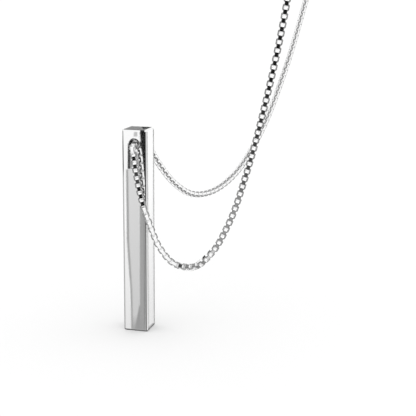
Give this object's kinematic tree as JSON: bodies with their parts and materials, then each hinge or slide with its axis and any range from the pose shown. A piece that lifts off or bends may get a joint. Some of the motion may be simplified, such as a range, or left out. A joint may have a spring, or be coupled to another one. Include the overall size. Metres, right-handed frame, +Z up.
{
  "type": "bar pendant on a box chain",
  "caption": "Slim square metal bar hung upright by a round cross hole on a fine box chain, a closed loop with a spring ring clasp.",
  "frame": {"origin": "under the clasp at the top of the loop, where the necklace hangs", "axes": "+Z up along the bar; the hole through the bar runs along Y; the bar and the lower chain lie towards -X; +Y runs along the clasp, from the strand in front of the bar to the strand behind it"},
  "size_m": [0.0442, 0.0862, 0.1801],
  "materials": {
    "polished_bar": "mirror-polished rhodium-plated silver",
    "chain_links": "bright polished silver",
    "fittings": "bright polished silver"
  },
  "bodies": {
    "necklace": {"chain": "chain_links", "end_ring": "fittings", "clasp": "fittings", "jump_ring": "fittings"},
    "pendant": {"bar": "polished_bar"}
  },
  "joints": [
    {"name": "bar_swing", "type": "hinge", "parent": "necklace", "child": "pendant", "pos_m": [-0.04, -0.02805, -0.136], "axis": [0, 1, 0], "continuous": true}
  ]
}
